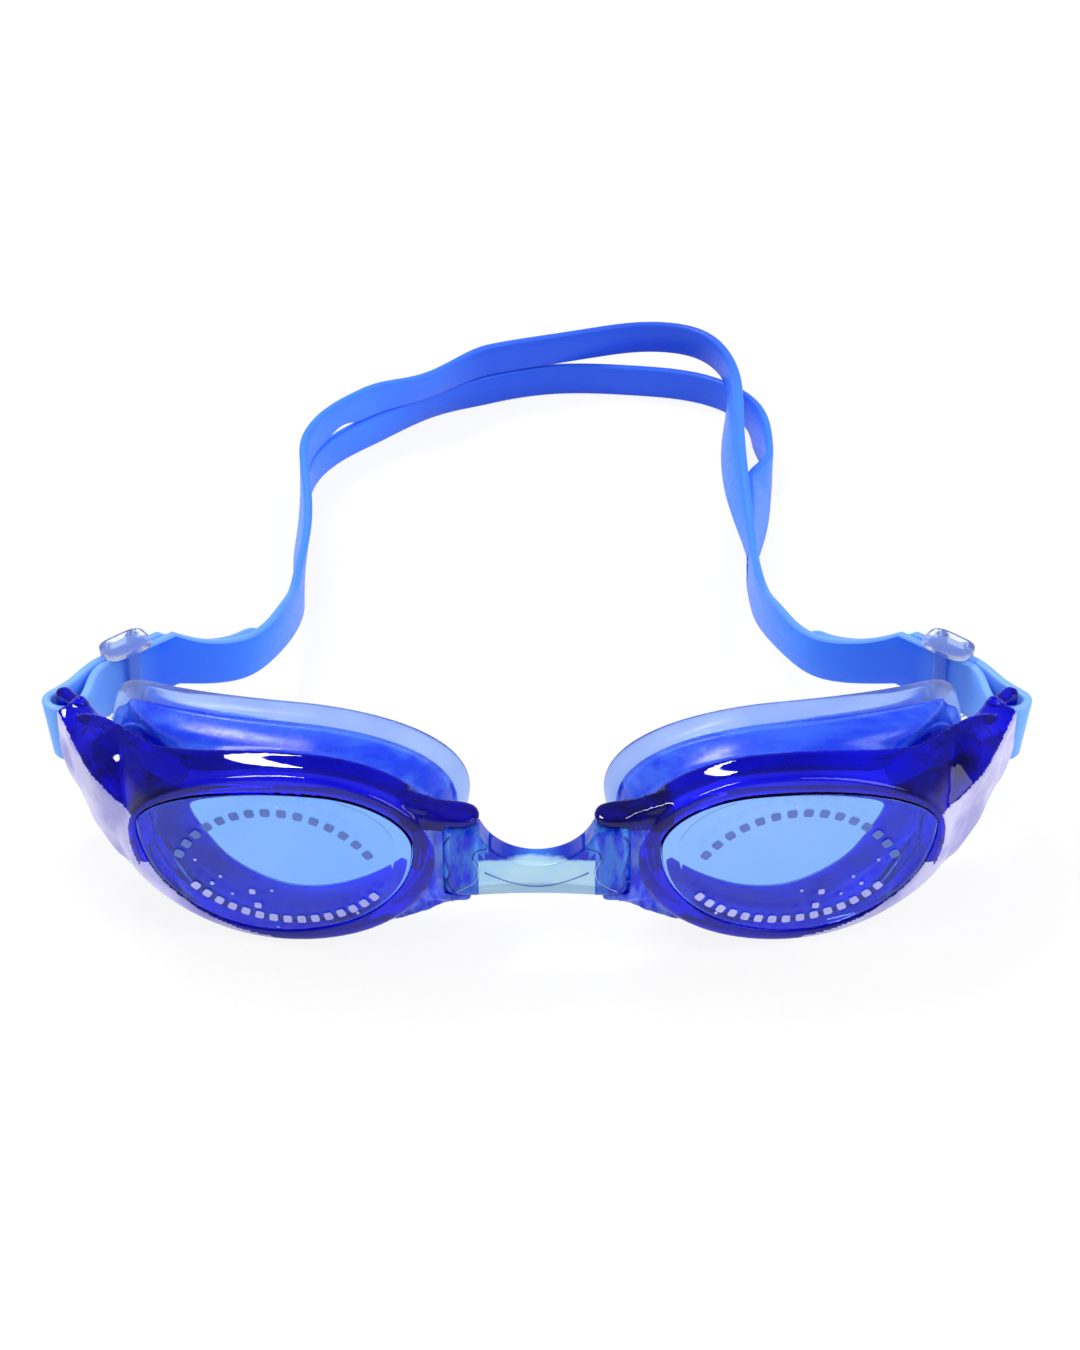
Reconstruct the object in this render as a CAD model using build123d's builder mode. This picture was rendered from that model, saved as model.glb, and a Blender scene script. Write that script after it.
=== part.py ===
"""Swim goggles: two hinged eyecups, a nose bridge and a split silicone strap.

Frame: X runs across the face, Y from the lenses back to the strap, Z up.  The origin is under the
middle of the goggles, on the surface that they stand on.  Millimetres and degrees.
"""
import os
from collections import namedtuple
from math import cos, radians, sin

from build123d import *

os.makedirs("parts", exist_ok=True)

# ---------------------------------------------------------------- driving dimensions
# Lens plane of one eyecup.  u runs along it, negative toward the temple; d runs back from it.
lens_x = 12.0             # u = 0 lies this far from the middle
lens_y = -85.0            # and here along Y
lens_yaw = 8.0            # the lens turns back toward the temple

# An outline is four quarter-ellipses: both tips lie level, the crest and the foot are set apart.
Outline = namedtuple("Outline", "temple nose tip_z crest_u crest_z foot_u foot_z")
rim = Outline(-52.7, -4.0, 21.0, -24.0, 34.6, -29.5, 0.8)
rim_back = Outline(-68.0, -2.8, 20.5, -28.0, 36.4, -31.0, 0.4)
window = Outline(-51.4, -7.6, 22.6, -22.5, 31.4, -31.0, 3.0)
seal = Outline(-61.6, -0.9, 20.6, -29.0, 37.4, -31.0, -1.35)
hollow_temple = -60.0     # the hollow stays clear of the arm, which stays thick

cup_depth = 18.0          # distance from the rim to the plane of rim_back
seal_depth = 26.0         # and to the plane of seal, for the gasket's wall
flange_run = 8.0          # the flange's outline meets seal this much further back
cup_wall = 1.9
front_wall = 2.4
lens_step = 0.7           # the lens's rear edge is this much larger than the window
lens_rear = 1.3           # thickness of that edge
seat_play = 0.08          # around the lens and the gasket's plug

# Strap, and the bar that it loops round
strap_thickness = 1.5
strap_single = 10.8       # width before the split
strip_width = 6.5         # each strip of the split part
strip_slit = 0.3
strap_play = 0.25         # gap to the bar, the slot and the buckle
layer_gap = 0.1           # between the two layers
bar_radius = 1.4
bar_u = -69.3
bar_d = 26.1
slot_play = 0.5           # above and below the strap
arm_height = 14.2
arm_middle_z = 20.3
arm_heading = 51.6        # the arm's end face, in the u-d plane
arm_out = 4.2             # the end face runs this far from the bar toward the front
arm_in = 1.9              # and this far toward the back
arm_root = [(-59.4, 20.6), (-54.5, 9.0), (-54.5, 4.5), (-59.0, 6.8)]
arm_cut_tip = 19.0        # height of the lower facet's outer edge at the end face
arm_cut_root = 14.2       # and at the root
arm_cut_in = 4.0          # the facet is this wide at the end face
nub_radius = 0.9

# Nose hinge
pin_depth = 3.6           # the pin's axis, behind the lens plane
pin_radius = 1.3
pin_play = 0.06
knuckle_radius = 3.5
knuckle_bottom = 13.6
knuckle_top = 26.0
lug_thickness = 2.2
lug_play = 0.25
lug_radius = 2.6
lug_reach = 7.0           # from the pin's axis back into the eyecup
bridge_depth = 4.9
bridge_bottom = 14.2
bridge_top = 20.0         # at the middle
bridge_arch = 9.5         # radius of the dip over the nose

# Gasket
gasket_wall = 2.0
gasket_plug = 2.0         # reaches this far into the eyecup
gasket_inset = 0.9        # its wall, inside the eyecup's outer face
flange_depth = 4.6
flange_step = 1.0
seal_lean = 0.18          # the face side leans back by this much for each millimetre of height
lean_level = 21.0

# Protective film
film_thickness = 0.25
film_inset = 1.6

# Buckle
buckle_right = 8.8        # its middle, from the bar's axis
buckle_back = 12.8
buckle_heading = 38.0
buckle_length = 8.6
rail_play = 0.35          # between each rail and the strap's edge
buckle_rail = 1.2
rail_flat = 0.4           # half the flat left at each end of a rail
buckle_bar = 0.9
buckle_outer_bar = 1.7
buckle_inner_bar = 2.2
buckle_before = 5.2       # straight strap ahead of the buckle's middle
buckle_after = 8.6        # and behind it, for its travel
loop_heading = 54.5       # the strap leaves the bar this way
loop_close = 7.5          # each layer turned in by this much toward the other
tail_past = 12.9          # the tail ends this far past the straight strap

# ---------------------------------------------------------------- shared planes and places
yaw = radians(lens_yaw)
lens_origin = (-lens_x, lens_y, 0)
lens_plane = Plane(origin=lens_origin, x_dir=(cos(yaw), -sin(yaw), 0), z_dir=(-sin(yaw), -cos(yaw), 0))
cup_plan = Plane(origin=lens_origin, x_dir=(cos(yaw), -sin(yaw), 0), z_dir=(0, 0, 1))
pin = cup_plan.from_local_coords((0, pin_depth, 0))
bar = cup_plan.from_local_coords((bar_u, bar_d, 0))

buckle_x = bar.X + buckle_right
buckle_y = bar.Y + buckle_back

tall = 60.0               # taller than anything here, for cutters
lip_line = [(6, 7.2), (-3, 6.6), (-17, 5.6), (-38, 5.6), (-50, 8.6), (-58, 15.2), (-66, 18.6), (-80, 19.4)]
seal_line = [(6, 21.5), (-3, 18.4), (-17, 15.4), (-30, 15.2), (-44, 18.4), (-60, 26.8), (-72, 34.0)]


def egg(plane, shape, inset=0.0):
    """Face inside an outline, drawn in again by inset all round."""
    temple = shape.temple + inset
    nose = shape.nose - inset
    rise = shape.crest_z - inset - shape.tip_z
    drop = shape.tip_z - shape.foot_z - inset
    with BuildSketch(plane) as face:
        with BuildLine():
            EllipticalCenterArc((shape.crest_u, shape.tip_z), nose - shape.crest_u, rise, 0)
            EllipticalCenterArc((shape.crest_u, shape.tip_z), shape.crest_u - temple, rise, 90)
            EllipticalCenterArc((shape.foot_u, shape.tip_z), shape.foot_u - temple, drop, 180)
            EllipticalCenterArc((shape.foot_u, shape.tip_z), nose - shape.foot_u, drop, 270)
        make_face()
    return face.sketch


def plan_strip(front, back, lean=0.0):
    """Region of the cup's plan between two lines that run across it, as a tall solid.

    The lines are true at lean_level, and run back by lean for each millimetre above it.
    """
    with BuildPart() as strip:
        with BuildSketch(cup_plan.offset(lean_level)):
            with BuildLine():
                Spline(front)
                Line(front[-1], back[-1])
                Spline(back)
                Line(back[0], front[0])
            make_face()
        extrude(amount=tall, dir=(0, lean, 1), both=True)
    return strip.part


def shifted(line, amount):
    """The same plan line, further back by amount."""
    return [(u, d + amount) for u, d in line]


def mixed(front, back, share):
    """Outline between two outlines."""
    return Outline(*(a + (b - a) * share for a, b in zip(front, back)))


# ---------------------------------------------------------------- eyecup
hollow_plane = lens_plane.offset(-front_wall)
cup_back = lens_plane.offset(-cup_depth)
hollow_front = mixed(rim, rim_back, front_wall / cup_depth)
hollow_back = rim_back._replace(temple=hollow_temple)

arm_h = radians(arm_heading)
along = (cos(arm_h), sin(arm_h))
toward_arm = (sin(arm_h), -cos(arm_h))
slot_width = strap_thickness + 2 * strap_play


def from_bar(across, forward):
    """Point of the cup's plan, by its distances from the bar's axis."""
    u = bar_u + along[0] * forward + toward_arm[0] * across
    d = bar_d + along[1] * forward + toward_arm[1] * across
    return (u, d)


arm_tip_out = from_bar(bar_radius + slot_width, -arm_out)
arm_tip_in = from_bar(bar_radius + slot_width, arm_in)
arm_bottom = arm_middle_z - arm_height / 2
web = (arm_height - strap_single) / 2 - slot_play
facet_corner = cup_plan.from_local_coords((*arm_tip_out, arm_cut_tip))
facet_root = cup_plan.from_local_coords((*arm_root[-1], arm_cut_root))
facet_end = from_bar(bar_radius + slot_width, arm_cut_in - arm_out)
facet_foot = cup_plan.from_local_coords((*facet_end, arm_bottom))
facet_run = facet_root - facet_corner
facet = Plane(origin=facet_corner, x_dir=facet_run, z_dir=(facet_foot - facet_corner).cross(facet_run))

with BuildPart() as arm:
    with BuildSketch(cup_plan.offset(arm_bottom)):
        with BuildLine():
            Polyline(*arm_root, arm_tip_out, arm_tip_in, close=True)
        make_face()
    extrude(amount=arm_height)
    # facet along the lower outer edge
    with BuildSketch(facet):
        Rectangle(tall, tall)
    extrude(amount=tall, mode=Mode.SUBTRACT)
    # nub on the end's upper edge
    with BuildSketch(cup_plan.offset(arm_middle_z)):
        with Locations(from_bar(bar_radius + slot_width + nub_radius, arm_in - 2 * nub_radius)):
            Circle(nub_radius)
    extrude(amount=arm_height / 2 + nub_radius)

with BuildPart() as left_eyecup:
    loft([egg(lens_plane, rim), egg(cup_back, rim_back)])
    add(plan_strip(lip_line, shifted(lip_line, tall)), mode=Mode.SUBTRACT)
    add(arm.part)
    # hollow behind the lens, open to the rear
    loft(
        [egg(hollow_plane, hollow_front, cup_wall), egg(cup_back, hollow_back, cup_wall)],
        mode=Mode.SUBTRACT,
    )
    # stepped seat for the lens
    extrude(egg(lens_plane, window, -seat_play), amount=-front_wall, mode=Mode.SUBTRACT)
    step_plane = lens_plane.offset(-front_wall / 2)
    extrude(egg(step_plane, window, -lens_step - seat_play), amount=-front_wall, mode=Mode.SUBTRACT)
    # bar for the strap, held by a web above and below
    with BuildSketch(cup_plan.offset(arm_bottom)):
        with Locations((bar_u, bar_d)):
            Circle(bar_radius)
    extrude(amount=arm_height)
    for web_z in (arm_bottom, arm_bottom + arm_height - web):
        with BuildSketch(cup_plan.offset(web_z)):
            with BuildLine():
                Polyline(
                    arm_tip_out,
                    from_bar(0, -bar_radius),
                    from_bar(-bar_radius, 0),
                    from_bar(0, bar_radius),
                    arm_tip_in,
                    from_bar(slot_width + 2 * bar_radius, 0),
                    close=True,
                )
            make_face()
        extrude(amount=web)
    # lugs above and below the bridge's knuckle, and the pin between them
    for lug_z in (knuckle_bottom - lug_play - lug_thickness, knuckle_top + lug_play):
        with BuildSketch(cup_plan.offset(lug_z)):
            with Locations((0, pin_depth)):
                Circle(lug_radius)
            with Locations((-lug_reach / 2, pin_depth)):
                Rectangle(lug_reach, 2 * lug_radius)
        extrude(amount=lug_thickness)
    with BuildSketch(cup_plan.offset(knuckle_bottom - lug_play - lug_thickness / 2)):
        with Locations((0, pin_depth)):
            Circle(pin_radius)
    extrude(amount=knuckle_top - knuckle_bottom + 2 * lug_play + lug_thickness)
left_eyecup.part.label = "left_eyecup"


# ---------------------------------------------------------------- lens
with BuildPart() as left_lens:
    extrude(egg(lens_plane, window), amount=-front_wall)
    extrude(egg(step_plane.offset(-seat_play), window, -lens_step), amount=-lens_rear)
left_lens.part.label = "left_lens"

# ---------------------------------------------------------------- film on the lens
with BuildPart() as left_film:
    extrude(egg(lens_plane, window, film_inset), amount=film_thickness)
left_film.part.label = "left_film"

# ---------------------------------------------------------------- gasket
gasket_front = rim._replace(temple=rim.temple + gasket_inset, nose=rim.nose - gasket_inset,
                            crest_z=rim.crest_z - gasket_inset, foot_z=rim.foot_z + gasket_inset)
flange_line = shifted(seal_line, -flange_depth)
plug_line = shifted(lip_line, -gasket_plug)
flange_end = lens_plane.offset(-seal_depth - flange_run)
plug_gap = cup_wall + seat_play

with BuildPart() as left_gasket:
    # wall from the eyecup's lip to the face
    loft([egg(lens_plane, gasket_front), egg(lens_plane.offset(-seal_depth), seal, flange_step)])
    add(plan_strip(lip_line, shifted(seal_line, tall)), mode=Mode.INTERSECT)
    add(plan_strip(shifted(seal_line, -tall), seal_line, seal_lean), mode=Mode.INTERSECT)
    # flange against the face
    with BuildPart(mode=Mode.PRIVATE) as flange:
        loft([egg(lens_plane, gasket_front, -flange_step), egg(flange_end, seal)])
        add(plan_strip(flange_line, seal_line, seal_lean), mode=Mode.INTERSECT)
    add(flange.part)
    # plug inside the eyecup's lip
    with BuildPart(mode=Mode.PRIVATE) as plug:
        loft([egg(hollow_plane, hollow_front, plug_gap), egg(cup_back, hollow_back, plug_gap)])
        add(plan_strip(plug_line, lip_line), mode=Mode.INTERSECT)
    add(plug.part)
    # hollow right through, first inside the wall and then inside the plug
    loft(
        [
            egg(lens_plane, gasket_front, gasket_wall),
            egg(flange_end, seal, flange_step + gasket_wall),
        ],
        mode=Mode.SUBTRACT,
    )
left_gasket.part.label = "left_gasket"

# ---------------------------------------------------------------- nose bridge
bridge_front = pin.Y - knuckle_radius
knuckle_height = knuckle_top - knuckle_bottom

with BuildPart() as nose_bridge:
    # plan: a knuckle round each pin, joined by a bar
    with BuildSketch(Plane.XY.offset(knuckle_bottom)):
        with Locations((pin.X, pin.Y), (-pin.X, pin.Y)):
            Circle(knuckle_radius)
        with Locations((0, bridge_front + bridge_depth / 2)):
            Rectangle(-2 * pin.X, bridge_depth)
        with Locations((pin.X, pin.Y), (-pin.X, pin.Y)):
            Circle(pin_radius + pin_play, mode=Mode.SUBTRACT)
    extrude(amount=knuckle_height)
    # dip over the nose, and a shallow arch under the bar
    with BuildSketch(Plane.XZ.offset(-bridge_front)):
        with Locations((0, bridge_top + bridge_arch)):
            Circle(bridge_arch)
        with BuildLine():
            foot = (pin.X + knuckle_radius, knuckle_bottom)
            arch = ThreePointArc(foot, (0, bridge_bottom), (-foot[0], foot[1]))
            Line(arch @ 0, arch @ 1)
        make_face()
    extrude(amount=tall, both=True, mode=Mode.SUBTRACT)
nose_bridge.part.label = "nose_bridge"

# ---------------------------------------------------------------- strap
# Its centre lines seen from above.  It stands on edge, looped round each bar and back through the
# buckle, and its far part is split into an upper and a lower strip.
lead = radians(buckle_heading)
buckle_plane = Plane(
    origin=(buckle_x, buckle_y, arm_middle_z), x_dir=(cos(lead), sin(lead), 0), z_dir=(0, 0, 1)
)
layer = (strap_thickness + layer_gap) / 2
loop_radius = bar_radius + strap_play + strap_thickness / 2
split_width = 2 * strip_width + strip_slit

split_left = (-43.4, 40.0)
split_right = (38.8, 14.0)
run_left = [(-49.6, -22.6), (-45.0, -13.4), (-43.0, -3.0), (-42.7, 18.0), split_left]
run_right = [(48.4, -23.4), (42.6, -13.0), (39.8, -1.0), split_right]
back_left = [split_left, (-43.4, 43.0), (-40.6, 52.0), (-31.0, 62.2), (-11.0, 75.2)]
lower_route = back_left + [(3.0, 78.8), (19.0, 78.6), (33.0, 75.4), (42.2, 66.0), (43.9, 52.0),
                           (41.4, 29.0), (38.9, 17.0), split_right]
upper_route = back_left + [(4.0, 81.0), (20.0, 84.2), (31.5, 81.4), (37.4, 70.0), (37.9, 54.0),
                           (37.9, 32.0), (38.7, 17.0), split_right]


def buckle_place(x, y, side):
    """Point of the buckle's plan, mirrored for the right side."""
    spot = buckle_plane.from_local_coords((x, y, 0))
    return Vector(side * spot.X, spot.Y)


def round_bar(angle, side):
    """Point of the strap's loop round the bar."""
    turn = radians(angle)
    return Vector(side * (bar.X + loop_radius * cos(turn)), bar.Y + loop_radius * sin(turn))


def heading_off(turn, side):
    """Direction in which a layer leaves the loop."""
    leave = radians(loop_heading + turn)
    return Vector(side * cos(leave), sin(leave))


def ribbon(line, steps=12):
    """Plan of the strap's thickness along a line."""
    edges = []
    for turn in (90, -90):
        edges.append([])
        for step in range(steps + 1):
            across = (line % (step / steps)).rotate(Axis.Z, turn)
            edges[-1].append(line @ (step / steps) + across * strap_thickness / 2)
    with BuildSketch() as plan:
        with BuildLine():
            for edge in edges:
                Spline(edge)
            Line(edges[0][0], edges[1][0])
            Line(edges[0][-1], edges[1][-1])
        make_face()
    return plan.sketch


def strap_end(side, run):
    """Lines of one end: inner layer, run to the split, loop, outer layer and free tail."""
    ahead = Vector(side * cos(lead), sin(lead))
    turns = (loop_close - 90, -180, -270 - loop_close)
    start, middle, end = (round_bar(loop_heading + turn, side) for turn in turns)
    with BuildLine() as lines:
        inner = buckle_place(-buckle_before, -layer, side)
        free = buckle_place(buckle_after, -layer, side)
        Spline(start, inner, tangents=(heading_off(loop_close, side), ahead))
        Line(inner, free)
        rest = Spline([free] + run, tangents=(ahead, Vector(0, 1)))
        ThreePointArc(start, middle, end)
        outer = buckle_place(-buckle_before, layer, side)
        Spline(end, outer, tangents=(heading_off(-loop_close, side), ahead))
        Line(outer, buckle_place(buckle_after, layer, side))
        # the tail lies along the start of the run
        tail = []
        tail_share = tail_past / rest.length
        for step in range(4):
            share = tail_share * step / 3
            across = (rest % share).rotate(Axis.Z, side * 90)
            tail.append(rest @ share + across * 2 * layer)
        Spline(tail, tangents=(ahead, rest % tail_share))
    return lines.edges()


arm_strap_bottom = arm_middle_z - strap_single / 2
side_bottom = [(-31.8, arm_strap_bottom), (-27.8, 11.8), (-24.0, 9.8), (-17.7, 8.4), (-10.5, 6.7),
               (-3.0, 4.3), (4.6, 1.9), (20.0, 0.0)]
side_top = [(36.0, split_width), (24.0, 11.8), (14.0, 10.8), (4.0, 12.0), (-3.0, 13.1),
            (-10.5, 15.4), (-17.7, 17.2), (-24.0, 19.6), (-27.8, 22.0),
            (-31.8, arm_strap_bottom + strap_single)]

with BuildPart() as strap:
    for line in strap_end(1, run_left) + strap_end(-1, run_right):
        extrude(Pos(0, 0, -tall / 2) * ribbon(line), amount=tall)
    upper_line = Edge.make_spline([Vector(*spot) for spot in upper_route])
    extrude(Pos(0, 0, strip_width + strip_slit) * ribbon(upper_line, 40), amount=tall)
    # both edges, drawn from the side
    with BuildSketch(Plane.YZ) as side_view:
        with BuildLine():
            Spline(side_bottom, tangents=((1, 0), (1, 0)))
            Polyline(side_bottom[-1], (tall * 2, 0), (tall * 2, split_width), side_top[0])
            Spline(side_top, tangents=((-1, 0), (-1, 0)))
            Polyline(
                side_top[-1],
                (-tall * 2, side_top[-1][1]),
                (-tall * 2, arm_strap_bottom),
                side_bottom[0],
            )
        make_face()
    extrude(amount=tall * 2, both=True, mode=Mode.INTERSECT)
    lower_line = Edge.make_spline([Vector(*spot) for spot in lower_route])
    extrude(ribbon(lower_line, 40), amount=strip_width)
strap.part.label = "strap"

# ---------------------------------------------------------------- buckle
buckle_opening = 2 * strap_thickness + layer_gap + 2 * strap_play
buckle_depth = buckle_opening + 2 * buckle_bar
buckle_inside = strap_single + 2 * rail_play
rail_corner = buckle_depth / 2 - rail_flat
bar_reach = buckle_length / 2 - rail_corner
with BuildPart() as left_buckle:
    for rail_z in (-buckle_inside / 2 - buckle_rail, buckle_inside / 2):
        with BuildSketch(buckle_plane.offset(rail_z)):
            RectangleRounded(buckle_length, buckle_depth, rail_corner)
        extrude(amount=buckle_rail)
    bar_y = (buckle_opening + buckle_bar) / 2
    with BuildSketch(buckle_plane.offset(-buckle_inside / 2 - buckle_rail / 2)):
        for bar_x in (-1, 1):
            with Locations((bar_x * bar_reach, bar_y)):
                Rectangle(buckle_outer_bar, buckle_bar)
        with Locations((0, -bar_y)):
            Rectangle(buckle_inner_bar, buckle_bar)
    extrude(amount=buckle_inside + buckle_rail)
left_buckle.part.label = "left_buckle"


def mirrored(left):
    """The same piece for the other side."""
    with BuildPart() as right:
        mirror(left.part, about=Plane.YZ)
    right.part.label = left.part.label.replace("left", "right")
    return right


left_pieces = [left_eyecup, left_lens, left_film, left_gasket, left_buckle]
for piece in [nose_bridge, strap] + left_pieces + [mirrored(left) for left in left_pieces]:
    export_step(piece.part, f"parts/{piece.part.label}.step")
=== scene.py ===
"""Swim goggles dressed for the render, in the frame of the CAD model.

Shapes are worked out in millimetres and put into metres as each mesh is made.  The left half is
built and mirrored.  Inside one eyecup, u runs along the lens (negative toward the temple), d runs
back from the lens plane and z runs up.
"""

from collections import namedtuple
from math import cos, pi, radians, sin, sqrt

import bmesh
import bpy
import numpy as np
from mathutils import Matrix, Vector


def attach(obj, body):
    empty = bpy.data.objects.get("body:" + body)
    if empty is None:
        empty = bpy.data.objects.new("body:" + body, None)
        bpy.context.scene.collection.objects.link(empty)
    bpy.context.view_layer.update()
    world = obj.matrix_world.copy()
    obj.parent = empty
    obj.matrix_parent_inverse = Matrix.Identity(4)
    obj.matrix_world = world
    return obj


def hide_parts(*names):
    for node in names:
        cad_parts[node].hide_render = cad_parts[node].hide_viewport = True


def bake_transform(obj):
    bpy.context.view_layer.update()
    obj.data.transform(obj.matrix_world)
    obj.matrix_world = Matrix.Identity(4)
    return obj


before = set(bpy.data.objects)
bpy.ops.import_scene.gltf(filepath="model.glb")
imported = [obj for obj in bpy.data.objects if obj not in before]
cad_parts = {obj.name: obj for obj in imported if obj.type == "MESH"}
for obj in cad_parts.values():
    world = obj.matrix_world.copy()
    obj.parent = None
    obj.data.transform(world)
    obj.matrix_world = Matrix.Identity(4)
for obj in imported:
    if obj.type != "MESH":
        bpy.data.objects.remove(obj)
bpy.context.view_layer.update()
scene = bpy.context.scene

MM = 0.001
SIDES = {"left": 1, "right": -1}

# ---- sizes shared with the CAD
LENS_X, LENS_Y = -12.0, -85.0
YAW = radians(8)
# an outline's two ends along u, their height, and its top and bottom
Outline = namedtuple("Outline", "temple nose tip_z crest_u crest_z foot_u foot_z")
RIM = Outline(-52.7, -4.0, 21.0, -24.0, 34.6, -29.5, 0.8)
RIM_BACK = Outline(-68.0, -2.8, 20.5, -28.0, 36.4, -31.0, 0.4)
HOLLOW_BACK = RIM_BACK._replace(temple=-60.0)
WINDOW = Outline(-51.4, -7.6, 22.6, -22.5, 31.4, -31.0, 3.0)
GASKET_FRONT = Outline(-51.8, -4.9, 21.0, -24.0, 33.7, -29.5, 1.7)
SEAL = Outline(-61.6, -0.9, 20.6, -29.0, 37.4, -31.0, -1.35)
CUP_DEPTH = 18.0  # distance from the rim to the plane of RIM_BACK
SEAL_DEPTH = 26.0  # and to the plane of SEAL, for the gasket's wall
FLANGE_RUN = 8.0  # the flange's outline meets SEAL this much further back
FLANGE_DEPTH = 4.6
CUP_WALL = 1.9
FRONT_WALL = 2.4
LIP_LINE = [(-80, 19.4), (-66, 18.6), (-58, 15.2), (-50, 8.6), (-38, 5.6), (-17, 5.6), (-3, 6.6), (6, 7.2)]
SEAL_LINE = [(-72, 34), (-60, 26.8), (-44, 18.4), (-30, 15.2), (-17, 15.4), (-3, 18.4), (6, 21.5)]
SEAL_LEAN, LEAN_LEVEL = 0.18, 21.0

BAR = (-69.3, 26.1)  # the strap bar's axis, as (u, d)
BAR_RADIUS = 1.4
ARM_HEADING = radians(51.6)
ARM_IN = 1.9  # the arm's end face runs this far past the bar toward the back
ARM_BOTTOM, ARM_TOP = 13.2, 27.4
NUB_RADIUS = 0.9

PIN_D, PIN_RADIUS = 3.6, 1.3
KNUCKLE = 3.5  # radius round the pin
KNUCKLE_LOW, KNUCKLE_TOP = 13.6, 26.0
LUG, LUG_PLAY = 2.2, 0.25
BRIDGE_DEPTH = 4.9

THICK = 1.5  # strap
LAYER = 0.8  # from the middle between its two layers to the middle of each
SINGLE = 10.8  # its width before the split
STRIP, SLIT = 6.5, 0.3
MIDDLE = 20.3  # height of its middle at the arm

BUCKLE_RIGHT, BUCKLE_BACK = 8.8, 12.8
BUCKLE_HEADING = radians(38)
BUCKLE_LENGTH = 8.6
BUCKLE_BEFORE, BUCKLE_AFTER = 5.2, 8.6
RAIL, RAIL_PLAY = 1.2, 0.35


# ---- places and curves
def at(u, d, z):
    """Point of the left eyecup's space, in the row frame, in millimetres."""
    return (LENS_X + u * cos(YAW) + d * sin(YAW), LENS_Y - u * sin(YAW) + d * cos(YAW), z)


def at_depth(spot, d):
    """The same, for a (u, z) spot at a depth."""
    return at(spot[0], d, spot[1])


def egg(shape, angle, inset=0.0):
    """(u, z) on an outline of four quarter-ellipses."""
    c, s = cos(angle), sin(angle)
    middle = shape.crest_u if s >= 0 else shape.foot_u
    reach = shape.nose - inset - middle if c >= 0 else middle - shape.temple - inset
    rise = shape.crest_z - inset - shape.tip_z if s >= 0 else shape.tip_z - shape.foot_z - inset
    return middle + reach * c, shape.tip_z + rise * s


def mixed(a, b, share):
    """Outline between two outlines."""
    return Outline(*(p + (q - p) * share for p, q in zip(a, b)))


def between(a, b, share):
    """Point between two points."""
    return tuple(p + (q - p) * share for p, q in zip(a, b))


def turns(count):
    """As many angles, evenly round a circle."""
    return [2 * pi * k / count for k in range(count)]


def share_of(value, low, high):
    """0 up to low, 1 from high on and a straight rise between them."""
    return min(max((value - low) / (high - low), 0.0), 1.0)


def hump(value, low, high):
    """Rises smoothly from 0 at low to 1 in the middle and back to 0 at high."""
    return sin(pi * share_of(value, low, high)) ** 2


def ease(value, low, high):
    """Rises smoothly from 0 at low to 1 at high."""
    share = share_of(value, low, high)
    return share * share * (3 - 2 * share)


def squared(value, power):
    """Sine or cosine moved toward -1 or 1: an ellipse turns squarer as power falls from 1."""
    return abs(value) ** power if value > 0 else -(abs(value) ** power)


def table(pairs, value):
    """Value read off a table of (place, value) pairs."""
    return float(np.interp(value, *zip(*pairs)))


def lengths_along(points):
    """Length of a line of points up to each of them."""
    return np.concatenate([[0], np.cumsum(np.linalg.norm(np.diff(points, axis=0), axis=1))])


def spline(points):
    """Natural cubic spline through points, as a function of the share of its chord length."""
    p = np.array(points, float)
    t = lengths_along(p)
    h = np.diff(t)
    n = len(t)
    rows = np.eye(n)
    right = np.zeros_like(p)
    for i in range(1, n - 1):
        rows[i, i - 1 : i + 2] = h[i - 1], 2 * (h[i - 1] + h[i]), h[i]
        right[i] = 6 * ((p[i + 1] - p[i]) / h[i] - (p[i] - p[i - 1]) / h[i - 1])
    m = np.linalg.solve(rows, right)

    def value(share):
        x = np.asarray(share) * t[-1]
        i = np.clip(np.searchsorted(t, x) - 1, 0, n - 2)
        f, g, k = (x - t[i])[..., None], (t[i + 1] - x)[..., None], h[i][..., None]
        bend = (m[i] * g**3 + m[i + 1] * f**3) / (6 * k)
        return bend + (p[i] / k - m[i] * k / 6) * g + (p[i + 1] / k - m[i + 1] * k / 6) * f

    return value


def line_at(points, steps=400):
    """The second coordinate of a plan line as a function of the first."""
    samples = spline(points)(np.linspace(0, 1, steps))
    return lambda u: float(np.interp(u, samples[:, 0], samples[:, 1]))


def headings(path):
    """Unit direction at each point of a plan line."""
    ways = np.gradient(path, axis=0)
    return ways / np.linalg.norm(ways, axis=1)[:, None]


# ---- meshes and objects
def placed(name, data):
    """New object in the scene."""
    obj = bpy.data.objects.new(name, data)
    scene.collection.objects.link(obj)
    return obj


def make(name, points, faces, material, smooth=True):
    """Mesh object from points in millimetres, with one material or a list of them."""
    mesh = bpy.data.meshes.new(name)
    mesh.from_pydata([tuple(c * MM for c in p) for p in points], [], faces)
    mesh.validate()
    shape = bmesh.new()
    shape.from_mesh(mesh)
    bmesh.ops.recalc_face_normals(shape, faces=shape.faces)
    shape.to_mesh(mesh)
    shape.free()
    for finish in material if isinstance(material, list) else [material]:
        mesh.materials.append(finish)
    if smooth:
        mesh.shade_smooth()
    else:
        mesh.shade_flat()
    return placed(name, mesh)


def tube_faces(rings, size, closed=False, caps=(True, True)):
    """Faces of a tube of rings of size points each: bent round to its own start, or capped or not."""
    faces = []
    for r in range(rings if closed else rings - 1):
        for k in range(size):
            a, b = r * size + k, r * size + (k + 1) % size
            shift = size if r < rings - 1 else -(rings - 1) * size
            faces.append((a, b, b + shift, a + shift))
    ends = [tuple(reversed(range(size))), tuple(range((rings - 1) * size, rings * size))]
    return faces + [end for end, capped in zip(ends, caps) if capped and not closed]


def tube(name, rings, material, closed=False):
    """Solid through rings of as many points: bent round to its own start, or capped."""
    faces = tube_faces(len(rings), len(rings[0]), closed)
    return make(name, [p for ring in rings for p in ring], faces, material)


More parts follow.
